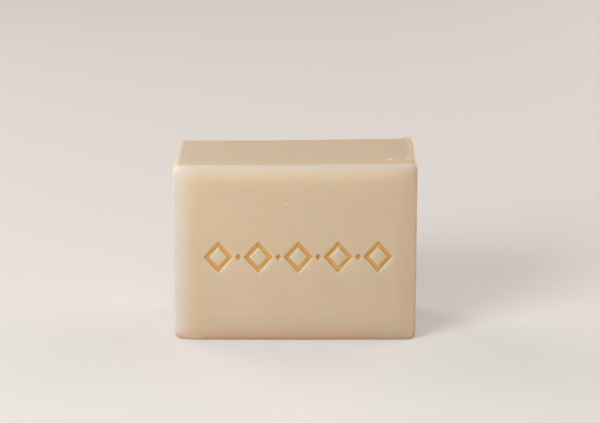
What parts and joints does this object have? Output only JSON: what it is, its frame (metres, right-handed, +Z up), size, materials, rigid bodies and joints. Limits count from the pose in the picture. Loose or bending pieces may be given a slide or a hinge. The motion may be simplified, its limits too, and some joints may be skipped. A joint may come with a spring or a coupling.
{
  "type": "shaving soap",
  "caption": "Rectangular pressed bar of cream shaving soap with rolled edges and a stamped row of lozenges, standing on its long narrow side.",
  "frame": {"origin": "middle of the long narrow side that the bar stands on", "axes": "+Z up from the resting side, +X along the bar, -Y out of the stamped front face"},
  "size_m": [0.075, 0.0358, 0.0567],
  "materials": {
    "soap": null
  },
  "bodies": {
    "root": {"soap_bar": "soap"}
  },
  "joints": []
}
